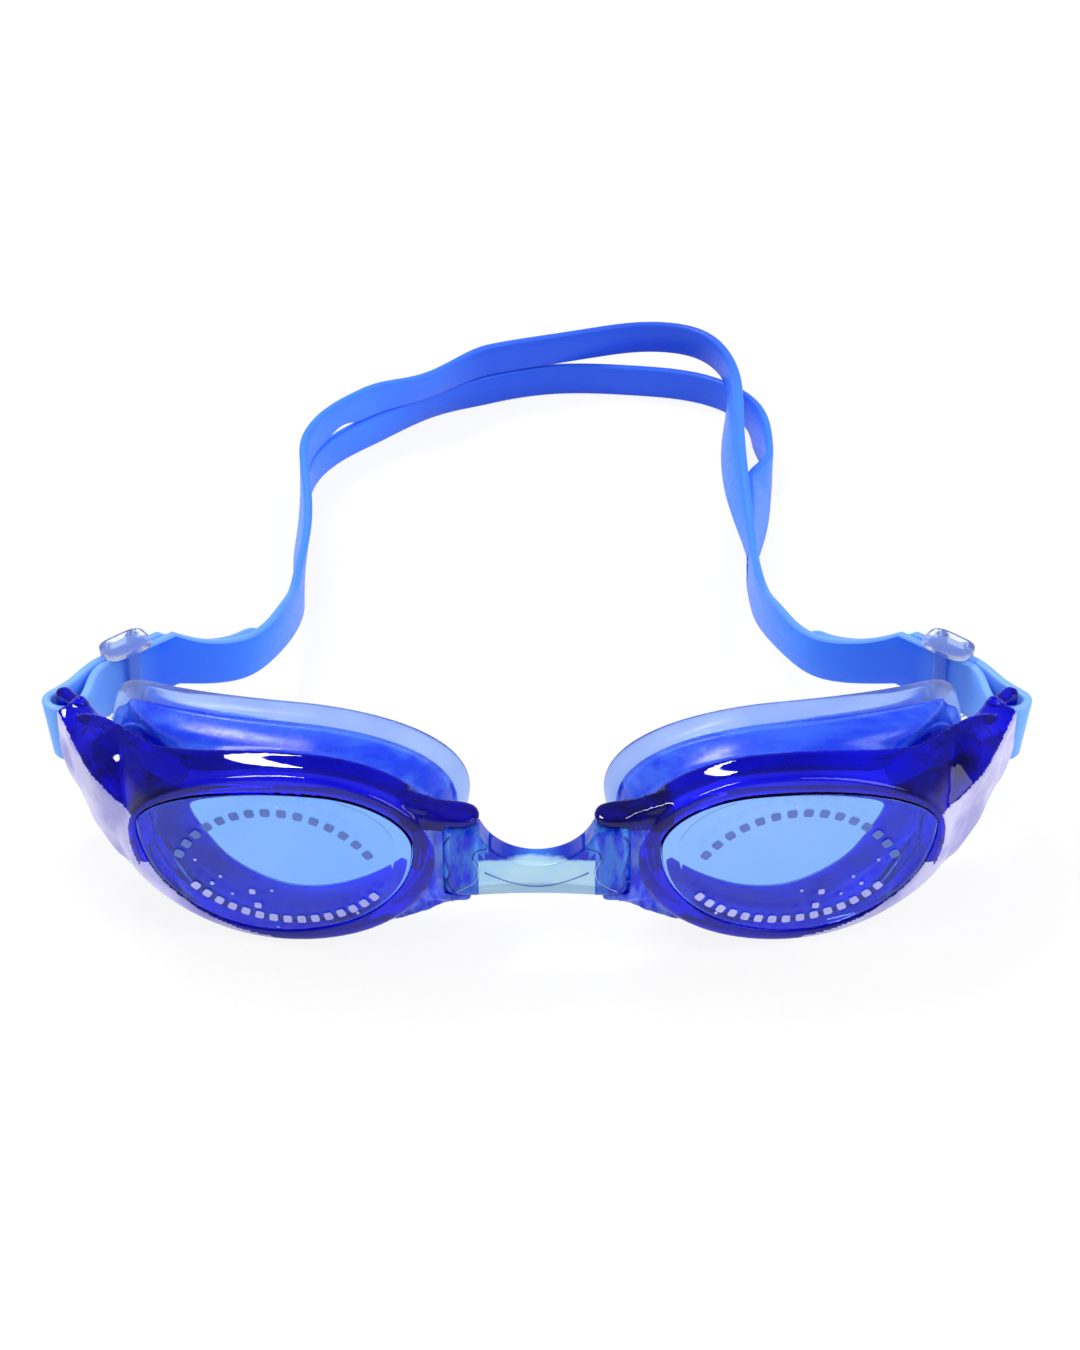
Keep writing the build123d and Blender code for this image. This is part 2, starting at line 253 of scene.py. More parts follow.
def gathered(pieces):
    """Points and faces of several meshes as one."""
    points, faces = [], []
    for new_points, new_faces in pieces:
        faces += [tuple(i + len(points) for i in face) for face in new_faces]
        points += new_points
    return points, faces


def paint(obj, finish):
    """Gives each face the finish that a rule names from its middle (mm) and its normal."""
    for poly in obj.data.polygons:
        poly.material_index = finish(poly.center / MM, poly.normal)


def apply_modifiers(obj):
    """Replaces the object's mesh by what its modifiers make of it."""
    bpy.context.view_layer.update()
    graph = bpy.context.evaluated_depsgraph_get()
    mesh = bpy.data.meshes.new_from_object(obj.evaluated_get(graph))
    obj.modifiers.clear()
    old = obj.data
    obj.data = mesh
    bpy.data.meshes.remove(old)
    mesh.shade_smooth()


def subdivide(obj):
    """One level of subdivision surface, applied."""
    smooth = obj.modifiers.new("subdivision", "SUBSURF")
    smooth.levels = smooth.render_levels = 1
    apply_modifiers(obj)


def join(objects, name):
    """One object from several."""
    bpy.ops.object.select_all(action="DESELECT")
    for obj in objects:
        obj.select_set(True)
    bpy.context.view_layer.objects.active = objects[0]
    bpy.ops.object.join()
    objects[0].name = objects[0].data.name = name
    return objects[0]


def fuse(objects, name, voxel, rounds, finishes):
    """One moulding from several solids, remeshed at voxel (mm) and smoothed."""
    obj = join(objects, name)
    remesh = obj.modifiers.new("remesh", "REMESH")
    remesh.mode = "VOXEL"
    remesh.voxel_size = voxel * MM
    soften = obj.modifiers.new("soften", "SMOOTH")
    soften.factor = 0.5
    soften.iterations = rounds
    apply_modifiers(obj)
    obj.data.materials.clear()
    for finish in finishes:
        obj.data.materials.append(finish)
    return obj


def mirrored(obj, name):
    """A copy on the other side."""
    mesh = obj.data.copy()
    mesh.name = name
    mesh.transform(Matrix.Diagonal((-1, 1, 1, 1)))
    mesh.flip_normals()
    return placed(name, mesh)


def settle(name, nodes, body, obj):
    """Says what a finished piece stands for and what it moves with."""
    obj.name = obj.data.name = name
    if nodes:
        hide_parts(*nodes)
    if body:
        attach(obj, body)


def both_sides(obj, name, solid, body):
    """Settles a left piece and its mirrored copy."""
    copy = mirrored(obj, "right_" + name)
    for side, piece in (("left", obj), ("right", copy)):
        settle(f"{side}_{name}", [f"{side}_{solid}"] if solid else [], f"{side}_{body}", piece)


# ---- node helpers
def node(tree, kind, inputs=(), **settings):
    """Outputs of a new shader node, from its (input, socket or value) pairs and its settings."""
    made = tree.nodes.new("ShaderNode" + kind)
    for key, value in settings.items():
        setattr(made, key, value)
    for key, value in dict(inputs).items():
        if isinstance(value, bpy.types.NodeSocket):
            tree.links.new(value, made.inputs[key])
        else:
            made.inputs[key].default_value = value
    return made.outputs


def own_place(tree):
    """Outputs X, Y and Z of a point in the object's own space."""
    return node(tree, "SeparateXYZ", {0: node(tree, "TexCoord")["Object"]})


def noise(tree, scale, detail=3.0, stretch=None):
    """Noise over the object's own space."""
    place = node(tree, "TexCoord")["Object"]
    if stretch:
        place = node(tree, "Mapping", {"Vector": place, "Scale": stretch})["Vector"]
    return node(tree, "TexNoise", {"Vector": place, "Scale": scale, "Detail": detail})["Fac"]


def spread(tree, value, start, end, low=0.0, high=1.0):
    """Maps start..end of a value to low..high."""
    ends = {"From Min": start, "From Max": end, "To Min": low, "To Max": high}
    return node(tree, "MapRange", {"Value": value, **ends})["Result"]


def worked(tree, operation, *values, clamp=False):
    """Result of a math node over sockets and numbers."""
    return node(tree, "Math", enumerate(values), operation=operation, use_clamp=clamp)[0]


def blended(tree, share, first, second):
    """Mix of two colours."""
    return node(tree, "Mix", {"Factor": share, "A": first, "B": second}, data_type="RGBA")["Result"]


def ramp(tree, value, stops):
    """Colour ramp from (position, colour) stops."""
    colour = node(tree, "ValToRGB", {"Fac": value})["Color"]
    bar = colour.node.color_ramp
    while len(bar.elements) < len(stops):
        bar.elements.new(0.5)
    for element, (place, tint) in zip(bar.elements, stops):
        element.position = place
        element.color = (*tint, 1)
    return colour


# ---- materials
def finished(name, surface):
    """Material whose surface a function makes in its node tree."""
    mat = bpy.data.materials.new(name)
    mat.use_nodes = True
    mat.node_tree.nodes.clear()
    node(mat.node_tree, "OutputMaterial", {"Surface": surface(mat.node_tree)})
    return mat


def grained(name, tint, sockets, grain, rough, depth):
    """Principled material with a fine grain in its roughness (from, to) and its bump (depth in metres)."""
    def surface(tree):
        fine = noise(tree, grain, 4.0)
        relief = node(tree, "Bump", {"Height": fine, "Strength": 0.2, "Distance": depth})["Normal"]
        rough_here = spread(tree, fine, 0.3, 0.7, *rough)
        own = {"Base Color": tint(tree), "Roughness": rough_here, "Normal": relief}
        return node(tree, "BsdfPrincipled", {**own, **sockets})["BSDF"]

    return finished(name, surface)


def patches(tree, dark, light, scale, stretch=None):
    """Soft patches of two colours."""
    return ramp(tree, noise(tree, scale, 3.0, stretch), [(0.38, dark), (0.62, light)])


def plastic(name, dark, light, rough, transmission, patch=60.0, grain=500.0, depth=0.00001, ior=1.47,
            gloss=0.5, stretch=None, tint=None):
    """Moulded plastic or silicone, clear or tinted."""
    sockets = {"IOR": ior, "Specular IOR Level": gloss, "Transmission Weight": transmission}
    tint = tint or (lambda tree: patches(tree, dark, light, patch, stretch))
    return grained(name, tint, sockets, grain, (rough * 0.7, rough * 1.3), depth)


def lit_strap_material(name, stops):
    """Silicone whose colour changes along Y, from (Y in metres, colour) stops: painted light and shade, paler
    near the ear and darker at the back.
    """
    low, high = stops[0][0], stops[-1][0]

    def tint(tree):
        share = spread(tree, own_place(tree)["Y"], low, high)
        return ramp(tree, share, [((y - low) / (high - low), colour) for y, colour in stops])

    return grained(name, tint, {"Specular IOR Level": 0.25}, 1200, (0.3, 0.5), 0.00003)


# The bridge's deep colour, painted shade on its top, starts 21.9 mm up at its front, and lower toward the
# back by this slant.
DEEP_SLANT = 0.5
DEEP_EDGE = 0.0219 + DEEP_SLANT * (LENS_Y + PIN_D - KNUCKLE) * MM
DEEP_WOBBLE = 0.0012  # its edge wanders by up to this much (m)
DEEP_HALF = 0.008  # the range over which it deepens from the middle toward the ends (m)


def bridge_tint_with_top_shade(tree):
    """Pale colour that turns deep above a slanting line, deepest toward both ends: the deep part is painted
    shade on the bridge's top.
    """
    place = own_place(tree)
    slanted = worked(tree, "MULTIPLY_ADD", place["Y"], DEEP_SLANT, place["Z"])
    height = worked(tree, "MULTIPLY_ADD", noise(tree, 500), DEEP_WOBBLE, slanted)
    above = spread(tree, height, DEEP_EDGE - 0.0002, DEEP_EDGE + 0.0003)
    off_middle = spread(tree, worked(tree, "ABSOLUTE", place["X"]), 0.0, DEEP_HALF)
    deep = ramp(tree, off_middle, [(0.1, (0.04, 0.2, 1.0)), (0.5, (0.005, 0.02, 0.62))])
    return blended(tree, above, patches(tree, (0.45, 0.76, 1.0), (0.56, 0.85, 1.0), 160), deep)


cup_plastic = plastic("cup_plastic", (0.002, 0.0005, 0.58), (0.008, 0.008, 1.0), 0.03, 0.92, 90, gloss=0.08,
                      stretch=(0.45, 1, 1.6))
# pale lilac facets: a painted reflection of glancing light on the clear plastic
cup_facet_reflection = plastic("cup_facet_reflection", (0.36, 0.34, 0.72), (0.70, 0.68, 0.96), 0.08, 0.2, 110)
cup_shade = plastic("cup_shade", (0.004, 0.001, 0.09), (0.008, 0.003, 0.5), 0.04, 0.7, 160, gloss=0.08)
cup_web = plastic("cup_web", (0.01, 0.04, 0.9), (0.18, 0.36, 1.0), 0.05, 0.6, 420, gloss=0.2,
                  stretch=(1.4, 1, 0.5))
lens_plastic = plastic("lens_plastic", (0.20, 0.45, 1.0), (0.26, 0.50, 1.0), 0.015, 1.0, 25, 300, 0.000002,
                       gloss=0.08)
film_plastic = plastic("film_plastic", (0.95, 0.97, 1.0), (0.98, 0.99, 1.0), 0.03, 1.0, 60, 300, 0.000005,
                       ior=1.03, gloss=0.1)
film_edge = plastic("film_edge", (0.12, 0.2, 0.45), (0.18, 0.28, 0.5), 0.2, 0.4, 60, 900, 0.00002)
film_print = plastic("film_print", (0.08, 0.15, 0.52), (0.11, 0.19, 0.6), 0.35, 0.1, 60, 900, 0.00002)
# paler copy of the print for the lower row of dashes and the spots: painted light
film_print_lit = plastic("film_print_lit", (0.42, 0.44, 0.92), (0.55, 0.56, 1.0), 0.35, 0.1, 60, 900,
                          0.00002)
gasket_wall = plastic("gasket_wall", (0.010, 0.06, 0.9), (0.045, 0.16, 1.0), 0.25, 0.5, 300, 700, 0.00003,
                      gloss=0.25, stretch=(0.12, 0.8, 2.0))
gasket_flange = plastic("gasket_flange", (0.30, 0.46, 1.0), (0.42, 0.58, 1.0), 0.2, 0.85, 60, 700, 0.00003,
                        ior=1.22, gloss=0.3)
# opaque deep blue for the low inside of the gasket: painted shade in the cup's hollow
gasket_inner_shade = plastic("gasket_inner_shade", (0.004, 0.008, 0.66), (0.014, 0.035, 1.0), 0.3, 0.0, 120, 700, 0.00003,
                       gloss=0.06, stretch=(0.5, 1, 1.5))
# pale bridge plastic with painted shade over its top band
bridge_light = plastic("bridge_light", None, None, 0.05, 0.5, gloss=0.3, tint=bridge_tint_with_top_shade)
bridge_deep = plastic("bridge_deep", (0.008, 0.02, 0.75), (0.06, 0.22, 1.0), 0.05, 0.7, 200, gloss=0.3)
bridge_block = plastic("bridge_block", (0.006, 0.04, 0.95), (0.08, 0.33, 1.0), 0.06, 0.6, 420, gloss=0.15,
                       stretch=(1.4, 1, 0.5))
# painted light and shade along Y: pale near the ear, a dark dip by the buckle, darker at the back
strap_silicone = lit_strap_material("strap_silicone", [
    (-0.054, (0.17, 0.42, 0.98)), (-0.040, (0.13, 0.36, 0.98)), (-0.0345, (0.016, 0.15, 0.97)),
    (-0.020, (0.035, 0.23, 1.0)), (0.030, (0.05, 0.23, 1.0)), (0.060, (0.06, 0.23, 0.98)),
    (0.075, (0.02, 0.10, 0.72)), (0.086, (0.018, 0.08, 0.64))])
# the edge faces' own copy of the painted light and shade, a little paler near the ear
strap_edge_lit = lit_strap_material("strap_edge_lit", [
    (-0.054, (0.20, 0.42, 1.0)), (0.0, (0.05, 0.23, 1.0)), (0.060, (0.04, 0.20, 1.0)),
    (0.086, (0.015, 0.075, 0.62))])
buckle_plastic = plastic("buckle_plastic", (0.90, 0.92, 0.96), (0.95, 0.96, 1.0), 0.05, 0.9,
                         depth=0.000005, ior=1.22, gloss=0.25)
# the strap's blue painted into the clear cross bars, where the strap shows through them
buckle_bar_painted_strap = plastic("buckle_bar_painted_strap", (0.16, 0.36, 1.0), (0.24, 0.46, 1.0), 0.05, 0.6, depth=0.000005,
                     ior=1.22, gloss=0.25)


# ---- eyecup: the wall
TURN = 112  # points round each eyecup
SEAT_STEP = 0.8  # the seat behind the lens is this much larger than the window

# the wall swells toward the temple and below: by angle (degrees), and by depth
SWELL_ANGLES = [(178, 0.0), (187, 0.5), (196, 1.1), (205, 1.6), (215, 1.5), (225, 1.2), (240, 1.0),
                (250, 0.9), (262, 0.6), (275, 0.3), (290, 0.0)]
SWELL_DEPTHS = [(0.3, 0.0), (1.0, 0.55), (2.2, 1.0), (4.0, 0.9), (7.0, 0.45), (11.0, 0.0)]
# the lip's thin edge reaches further back along the top, by angle (degrees)
LIP_FIN = [(20, 0.0), (45, 1.1), (90, 1.2), (118, 1.3), (130, 1.6), (140, 2.0), (150, 2.3), (160, 2.4),
           (170, 2.0), (178, 1.0), (185, 0.0)]

lip_at = line_at(LIP_LINE)
seal_at = line_at(SEAL_LINE)


def lip_depth(angle):
    """Depth of the eyecup's lip on the outer wall."""
    depth = 8.0
    for _ in range(12):
        u, _z = egg(mixed(RIM, RIM_BACK, min(depth, CUP_DEPTH) / CUP_DEPTH), angle)
        depth = 0.5 * depth + 0.5 * min(lip_at(u), CUP_DEPTH)
    return depth


def cup_ring(angle):
    """Closed profile of the eyecup's wall at one angle."""
    lip = lip_depth(angle)
    edge = lip + table(LIP_FIN, np.degrees(angle))
    swell = table(SWELL_ANGLES, np.degrees(angle))

    def outside(depth, inset):
        shape = mixed(RIM, RIM_BACK, depth / CUP_DEPTH)
        return at_depth(egg(shape, angle, inset - swell * table(SWELL_DEPTHS, depth)), depth)

    def inside(depth, inset=CUP_WALL):
        return at_depth(egg(mixed(RIM, HOLLOW_BACK, depth / CUP_DEPTH), angle, inset), depth)

    def face(depth, share):
        return at_depth(between(egg(WINDOW, angle, -0.08), egg(RIM, angle), share), depth)

    def seat(depth):
        return at_depth(egg(WINDOW, angle, -SEAT_STEP), depth)

    return [
        face(1.2, 0.0), face(0.35, 0.0), face(0.08, 0.10), face(0.0, 0.35), face(0.05, 0.65),
        face(0.22, 0.88), outside(0.62, 0.02), outside(1.3, 0.12), outside(2.2, 0.30),
        outside(edge * 0.45, 0.38), outside(edge * 0.7, 0.20), outside(edge - 1.1, 0.02),
        outside(edge - 0.35, -0.02), outside(edge, 0.2), outside(edge, 0.75), outside(lip + 0.01, 0.85),
        inside(lip, CUP_WALL - 0.3), inside(lip - 0.4), inside((lip + FRONT_WALL) / 2),
        inside(FRONT_WALL + 0.1), seat(FRONT_WALL), seat(1.2),
    ]


shell = tube("shell", [cup_ring(angle) for angle in turns(TURN)], cup_plastic, closed=True)
subdivide(shell)

# ---- eyecup: the arm
# its four long edges as (u, d, z), from the rim to the end face at the strap
RIDGE = [(-52.6, 1.0, 24.0), (-54.3, 2.2, 24.4), (-56.3, 3.6, 24.8), (-58.5, 5.4, 25.4), (-60.9, 7.9, 25.6),
         (-62.6, 10.2, 25.9), (-64.9, 13.8, 26.1), (-67.2, 17.5, 26.5), (-69.2, 20.7, 27.2)]
LOW_RIDGE = [(-52.2, 1.8, 11.4), (-54.6, 3.3, 12.0), (-57.0, 5.0, 12.8), (-59.0, 6.8, 14.0),
             (-60.8, 8.6, 14.9), (-62.4, 10.8, 16.2), (-64.6, 14.0, 17.4), (-67.0, 17.8, 18.8),
             (-69.2, 20.7, 19.2)]
INNER_TOP = [(-49.0, 6.0, 26.0), (-50.5, 7.5, 27.4), (-52.5, 9.5, 28.6), (-55.0, 12.0, 29.3),
             (-57.3, 14.6, 29.5), (-59.3, 17.0, 29.2), (-61.4, 19.8, 28.1), (-63.5, 22.7, 27.3),
             (-65.5, 25.5, 27.1)]
INNER_LOW = [(-49.5, 6.0, 15.5), (-51.0, 7.5, 15.0), (-52.8, 9.5, 14.4), (-55.2, 12.0, 13.8),
             (-57.4, 14.6, 13.4), (-59.4, 17.0, 13.2), (-61.4, 19.8, 13.2), (-63.5, 22.7, 13.2),
             (-65.5, 25.5, 13.2)]
ARM_SECTIONS = 45
CROWN = 0.3  # the arm's top swells by this much halfway along
FOOT_SHARE = 0.62  # the arm's lower corner lies this far from the low ridge to the inner side


def arm_ring(share):
    """Section of the arm at a share of its length."""
    ridge, low, top_in, low_in = (spline(edge)(share) for edge in (RIDGE, LOW_RIDGE, INNER_TOP, INNER_LOW))
    foot = low + (low_in - low) * FOOT_SHARE
    foot[2] = low_in[2]
    crown = (ridge + top_in) / 2 + (0, 0, 0.25 + CROWN * sin(pi * share) ** 2)
    return [at(*p) for p in (
        low, (low + ridge) / 2, ridge - (0, 0, 0.35), ridge + (top_in - ridge) * 0.08, crown,
        ridge + (top_in - ridge) * 0.92, top_in - (0, 0, 0.5), (top_in + low_in) / 2, low_in + (0, 0, 0.4),
        foot + (low_in - foot) * 0.85, foot, (low + foot) / 2 - (0, 0, 0.1))]


arm = tube("arm", [arm_ring(share) for share in np.linspace(0, 1, ARM_SECTIONS)], cup_plastic)


# ---- eyecup: bar, slot and nose side
def prism(name, outline, low, high):
    """Upright prism over a plan outline of (u, d) points."""
    return tube(name, [[at(u, d, z) for u, d in outline] for z in (low, high)], cup_plastic)


def plate(name, outline, front, back):
    """Prism along d over an outline of (u, z) points."""
    return tube(name, [[at_depth(spot, d) for spot in outline] for d in (front, back)], cup_plastic)


def disc(centre, radius, count=24):
    """Plan outline of a circle."""
    return [(centre[0] + radius * cos(turn), centre[1] + radius * sin(turn)) for turn in turns(count)]


def from_bar(across, forward):
    """(u, d) by its distances from the bar's axis, across the slot and along the arm's end face."""
    c, s = cos(ARM_HEADING), sin(ARM_HEADING)
    return (BAR[0] + c * forward + s * across, BAR[1] + s * forward - c * across)


def from_pin(*spots):
    """Plan outline of (u, d) points from spots round the pin."""
    return [(u, PIN_D + d) for u, d in spots]


WEB = 1.2  # thickness of the webs that hold the bar
SLOT = 2.0  # the slot's width beside the bar
SLOT_EDGE = BAR_RADIUS + SLOT
WEB_EDGE = SLOT + 2 * BAR_RADIUS
BAR_TOP = ARM_TOP - 0.3
BLOCK_TOP = KNUCKLE_TOP + 0.7  # the bridge's block fills the gap under the top lug
LUG_THIN = 1.3  # the lower lug
web_low = [from_bar(SLOT_EDGE, ARM_IN), from_bar(WEB_EDGE, 0.4), from_bar(SLOT_EDGE, -2.4),
           from_bar(0, -BAR_RADIUS), from_bar(-BAR_RADIUS * 0.8, 0), from_bar(0, BAR_RADIUS)]
web_top = [from_bar(WEB_EDGE, 1.3), from_bar(WEB_EDGE, -1.2), from_bar(0, -1.2), from_bar(0, 1.2)]
lug_high = from_pin((0.0, -2.6), (1.5, -2.15), (2.4, -1.0), (2.6, 0), (2.4, 1.0), (1.5, 2.15), (0.0, 2.6),
                    (-3.6, 2.9), (-7.4, 2.6), (-7.4, -2.4), (-3.6, -2.8))
lug_low = [(min(u, 1.4), d) for u, d in lug_high]
nose_web = from_pin((-2.5, -2.85), (-3.25, -1.88), (-3.62, -0.97), (-3.75, 0), (-3.62, 0.97), (-3.25, 1.88),
                    (-5.3, 2.6), (-5.3, -2.85))
# ribs that carry the lugs, as (u, z) outlines
GUSSET_LOW = [(-12.0, 6.0), (-9.4, 7.0), (-5.3, 9.2), (-2.8, 11.0), (-1.2, 11.4), (-1.2, 13.2), (-6.6, 14.0),
              (-9.0, 10.6)]
GUSSET_HIGH = [(-7.2, 26.2), (-3.9, 25.8), (-1.5, 26.4), (-1.5, 28.3), (-4.5, 29.2), (-8.5, 30.3),
               (-12.0, 31.0), (-9.6, 29.0)]
low_lug_top = KNUCKLE_LOW - LUG_PLAY

cup = fuse([
    shell, arm,
    prism("bar", disc(BAR, BAR_RADIUS), ARM_BOTTOM, BAR_TOP),
    prism("web_low", web_low, ARM_BOTTOM, ARM_BOTTOM + WEB),
    prism("web_top", web_top, ARM_TOP - WEB, BAR_TOP),
    prism("nub", disc(from_bar(SLOT_EDGE + NUB_RADIUS, 0.1), NUB_RADIUS), ARM_TOP - 2, ARM_TOP + 0.7),
    prism("lug_low", lug_low, low_lug_top - LUG_THIN, low_lug_top),
    prism("lug_high", lug_high, BLOCK_TOP + LUG_PLAY, KNUCKLE_TOP + LUG_PLAY + LUG),
    prism("pin", disc((0, PIN_D), PIN_RADIUS), low_lug_top - LUG_THIN / 2, KNUCKLE_TOP + 1.4),
    prism("nose_web", nose_web, KNUCKLE_LOW - 1.5, KNUCKLE_TOP + 1.5),
    plate("gusset_low", GUSSET_LOW, 1.3, 5.6),
    plate("gusset_high", GUSSET_HIGH, 1.6, 5.6),
], "eyecup", 0.32, 5, (cup_plastic, cup_facet_reflection, cup_shade, cup_web))

# ---- eyecup: which finish is where, painted reflection and painted shade among them
PLAIN, FACET_REFLECTION, SHADE, WEBBED = range(4)
ARM_FROM = -51.5  # the arm is on the temple side of this
SHADE_FROM, SHADE_SLOPE = -44.0, 0.75  # dark corner between the rim and the arm
FACET_FROM, FACET_TOP = -33.0, 15.0  # facet low on the wall, toward the temple, pale with a painted reflection
BEVEL_FROM = -30.0  # it runs on along the rim as a strip, of these widths by u
BEVEL = [(-51.0, 2.6), (-47.5, 2.0), (-42.0, 1.4), (-36.0, 1.1), (-31.0, 0.8), (-30.0, 0.0)]
ARM_FACET = (-0.81, -0.59)  # the arm's outer facet faces this way in plan, and takes the painted reflection
NOSE_FROM = -9.5  # the lugs and their web are on the nose side of this
LUG_LEVEL = 26.3

rim_line = np.array([egg(RIM, angle) for angle in turns(720)])
ridge_height = line_at([(u, z) for u, _d, z in reversed(RIDGE)])
ridge_depth = line_at([(u, d) for u, d, _z in reversed(RIDGE)])


def in_cup(x, y, z):
    """(u, d, z) of a direction of the left eyecup."""
    return x * cos(YAW) - y * sin(YAW), x * sin(YAW) + y * cos(YAW), z


def cup_finish(middle, normal):
    """Finish of the eyecup at one face: plain plastic, painted reflection on the pale facets, painted shade,
    or the nose web.
    """
    u, d, z = in_cup(middle.x - LENS_X, middle.y - LENS_Y, middle.z)
    nu, nd, nz = in_cup(*normal)
    shaded = nz > 0.3 and d < SHADE_SLOPE * (SHADE_FROM - u) + 0.5
    if u < ARM_FROM:
        outward = ARM_FACET[0] * nu + ARM_FACET[1] * nd > 0.5
        if outward and z < ridge_height(u) and 0.5 < d < ridge_depth(u) + 3.0:
            return FACET_REFLECTION
        return SHADE if shaded else PLAIN
    if u < SHADE_FROM and shaded and d > 0.3:
        return SHADE
    if u > NOSE_FROM and d > 0.6 and nd < -0.4 and 6 < z < LUG_LEVEL:
        return WEBBED
    low_wall = z < FACET_TOP and nd < -0.12
    if u < FACET_FROM and low_wall and 0.45 < d < 5 and (nz < -0.1 or nu < -0.3):
        return FACET_REFLECTION
    if u < BEVEL_FROM and low_wall and d < 1.6:
        from_rim = np.min(np.hypot(rim_line[:, 0] - u, rim_line[:, 1] - z))
        return FACET_REFLECTION if from_rim < table(BEVEL, u) else PLAIN
    return SHADE if u > NOSE_FROM and z >= LUG_LEVEL else PLAIN


paint(cup, cup_finish)
both_sides(cup, "eyecup", "eyecup", "cup")

# ---- lenses
PANE_TURN = 128  # points round a pane
SHARES = (0.0, 0.12, 0.3, 0.5, 0.68, 0.82, 0.92, 0.97)


def pane(name, shape, levels, material):
    """Closed pane from (share of the way out, inset, depth) levels, its first and last at the middle."""
    middle = ((shape.crest_u + shape.foot_u) / 2, (shape.crest_z + shape.foot_z) / 2)
    points = []
    for share, inset, depth in levels[1:-1]:
        points += [at_depth(between(middle, egg(shape, turn, inset), share), depth)
                   for turn in turns(PANE_TURN)]
    rings = len(levels) - 2
    faces = tube_faces(rings, PANE_TURN, caps=(False, False))
    for (_share, _inset, depth), ring in ((levels[0], 0), (levels[-1], rings - 1)):
        faces += [(len(points), ring * PANE_TURN + (k + 1) % PANE_TURN, ring * PANE_TURN + k)
                  for k in range(PANE_TURN)]
        points.append(at_depth(middle, depth))
    return make(name, points, faces, material)


def dome(share):
    """Depth of the lens's front face, which stands a little proud in the middle."""
    return 0.12 - 0.22 * (1 - share**2)


lens_levels = [(share, 0.0, dome(share)) for share in SHARES]
lens_levels += [(1, 0.18, 0.2), (1, 0.0, 0.4), (1, 0.0, 1.15), (1, -0.62, 1.3), (1, -0.62, 2.3),
                (1, -0.3, 2.45)]
lens_levels += [(share, 0.0, 2.5) for share in reversed(SHARES)]
lens = pane("lens", WINDOW, lens_levels, lens_plastic)
both_sides(lens, "lens", "lens", "cup")

# ---- protective films
FILM = Outline(-51.15, -10.2, 22.5, -22.9, 31.15, -31.0, 3.25)
FILM_GAP = 0.06
FILM_THICK = 0.1
FILM_DARK = (0.03, 0.2)  # its edge shows dark over this part of the turn


def film_depth(share):
    """Depth of the film's rear face over the lens."""
    return dome(min(share, SHARES[-1])) - FILM_GAP


film_shares = SHARES + (1.0,)
film_levels = [(share, 0.0, film_depth(share) - FILM_THICK) for share in film_shares]
film_levels += [(share, 0.0, film_depth(share)) for share in reversed(film_shares)]
film = pane("film", FILM, film_levels, [film_plastic, film_edge])
edge_ring = (len(film_shares) - 2) * PANE_TURN
for index in range(PANE_TURN):
    if FILM_DARK[0] < index / PANE_TURN < FILM_DARK[1]:
        film.data.polygons[edge_ring + index].material_index = 1
both_sides(film, "film", "film", "cup")

# ---- generic marks on the films
MARK_TURN = 12  # points round a mark
MARK_DEPTH = film_depth(0.75) - FILM_THICK
MARK_FACES = (0.02, 0.10)  # a mark's rear and front, ahead of the film


def circle_through(a, b, c):
    """Middle and radius of the circle through three points."""
    (x1, y1), (x2, y2), (x3, y3) = a, b, c
    e = 2 * (x1 * (y2 - y3) + x2 * (y3 - y1) + x3 * (y1 - y2))
    squares = [x * x + y * y for x, y in (a, b, c)]
    cx = (squares[0] * (y2 - y3) + squares[1] * (y3 - y1) + squares[2] * (y1 - y2)) / e
    cy = (squares[0] * (x3 - x2) + squares[1] * (x1 - x3) + squares[2] * (x2 - x1)) / e
    return cx, cy, sqrt((x1 - cx) ** 2 + (y1 - cy) ** 2)


def dash(arc, angle, half, height):
    """Points and faces of one short rounded dash on an arc."""
    cx, cy, radius = arc
    outline = []
    for turn in turns(MARK_TURN):
        x = max(-1, min(1, cos(turn) * 1.35)) * half
        y = max(-1, min(1, sin(turn) * 1.25)) * height / 2
        place = angle + x / radius
        outline.append((cx + (radius + y) * cos(place), cy + (radius + y) * sin(place)))
    points = [at_depth(spot, MARK_DEPTH - proud) for proud in MARK_FACES for spot in outline]
    return points, tube_faces(2, MARK_TURN)


def dashes(start, middle, end, count, height, fill):
    """Dashes along an arc through three (u, z) points, which fill this share of it."""
    cx, cy, radius = circle_through(start, middle, end)
    first, mid, last = (np.arctan2(z - cy, u - cx) for u, z in (start, middle, end))
    if not min(first, last) < mid < max(first, last):
        first, last = (angle + 2 * pi if angle < 0 else angle for angle in (first, last))
    step = (last - first) / count
    half = abs(step) * radius * fill / 2
    return [dash((cx, cy, radius), first + step * (n + 0.5), half, height) for n in range(count)]


def spot(u, z, radius):
    """Small round blister on the film."""
    return dashes((u - radius, z), (u, z + 0.001), (u + radius, z), 1, 2 * radius, 1.0)


SPOTS = [(-33.4, 11.0, 0.5), (-32.6, 8.2, 0.55), (-30.2, 11.6, 0.22), (-38.4, 13.6, 0.25), (-39.8, 12.0, 0.3),
         (-25.5, 5.9, 0.25), (-36.6, 10.2, 0.22), (-21.0, 7.4, 0.2), (-16.5, 8.6, 0.25), (-42.3, 16.6, 0.22),
         (-28.6, 29.2, 0.25), (-23.2, 29.6, 0.2)]
upper_row = dashes((-45.3, 16.4), (-30.5, 27.6), (-13.8, 19.8), 15, 1.5, 0.6)
lower_row = dashes((-43.3, 12.0), (-28.0, 5.9), (-13.0, 13.2), 15, 1.4, 0.6)
spots = [blister for place in SPOTS for blister in spot(*place)]
marks = make("marks", *gathered(upper_row + lower_row + spots), [film_print, film_print_lit], smooth=False)
# the lower row and the spots take the paler print, which is painted light
for poly in marks.data.polygons[len(gathered(upper_row)[1]):]:
    poly.material_index = 1
both_sides(marks, "film_marks", None, "cup")

